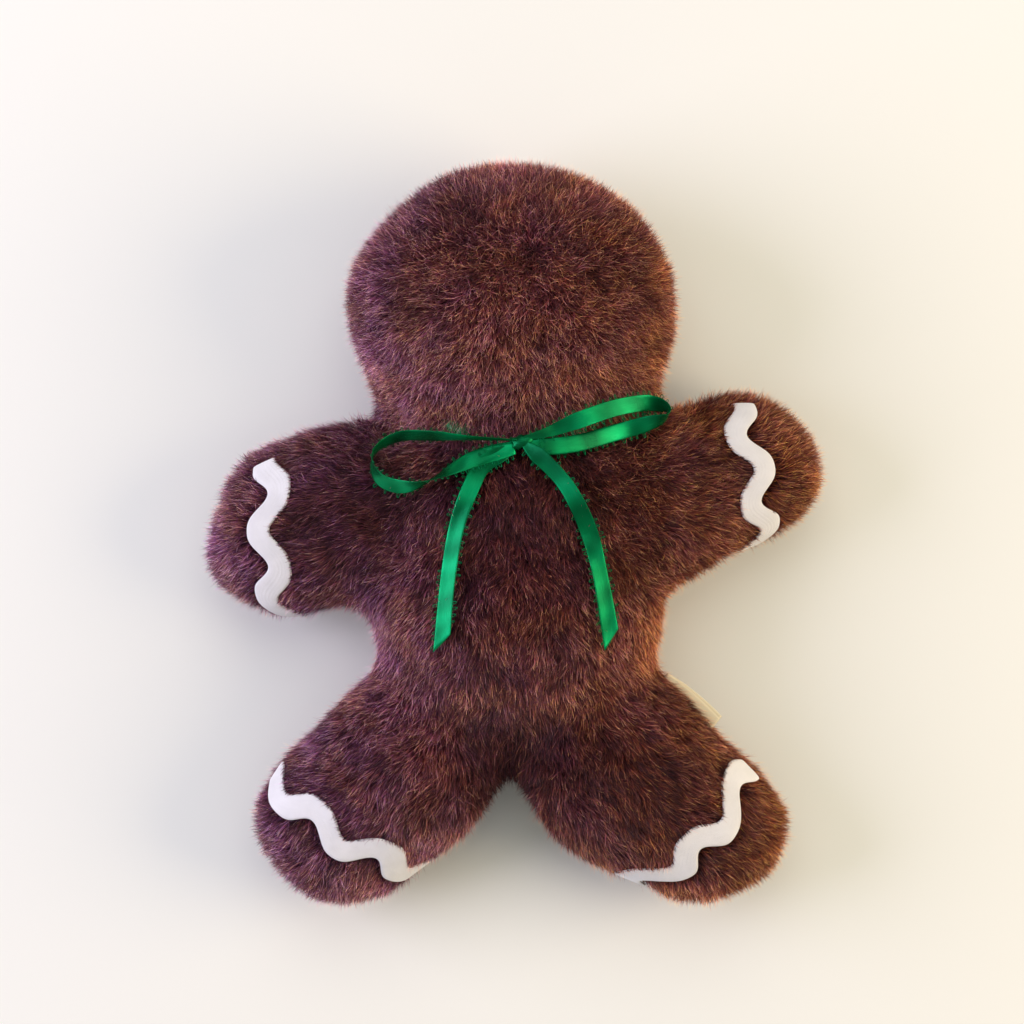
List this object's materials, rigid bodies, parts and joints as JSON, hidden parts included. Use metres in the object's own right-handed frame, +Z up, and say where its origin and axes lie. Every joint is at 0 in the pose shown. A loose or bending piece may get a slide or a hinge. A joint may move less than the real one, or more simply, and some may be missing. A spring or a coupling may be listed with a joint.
{
  "type": "plush gingerbread man toy",
  "caption": "Stuffed faux-fur gingerbread man toy with no face, wavy white braid across each arm and leg, and a narrow satin ribbon tied in a bow round the neck.",
  "frame": {"origin": "on the surface that the toy lies on, under the middle of its width and length", "axes": "+Y from the feet to the head, +Z up from the surface, with the trimmed side up, +X to the right as seen from above"},
  "size_m": [0.209, 0.252, 0.0642],
  "materials": {
    "brown_fur": "matte long-pile faux fur",
    "white_braid": "fine woven, slight sheen",
    "green_satin": "glossy satin",
    "tag_cloth": "soft satin, unprinted"
  },
  "bodies": {
    "root": {"fur_body": "brown_fur", "rickrack_left_arm": "white_braid", "rickrack_right_arm": "white_braid", "rickrack_left_leg": "white_braid", "rickrack_right_leg": "white_braid", "neck_ribbon": "green_satin", "side_tag": "tag_cloth"}
  },
  "joints": []
}
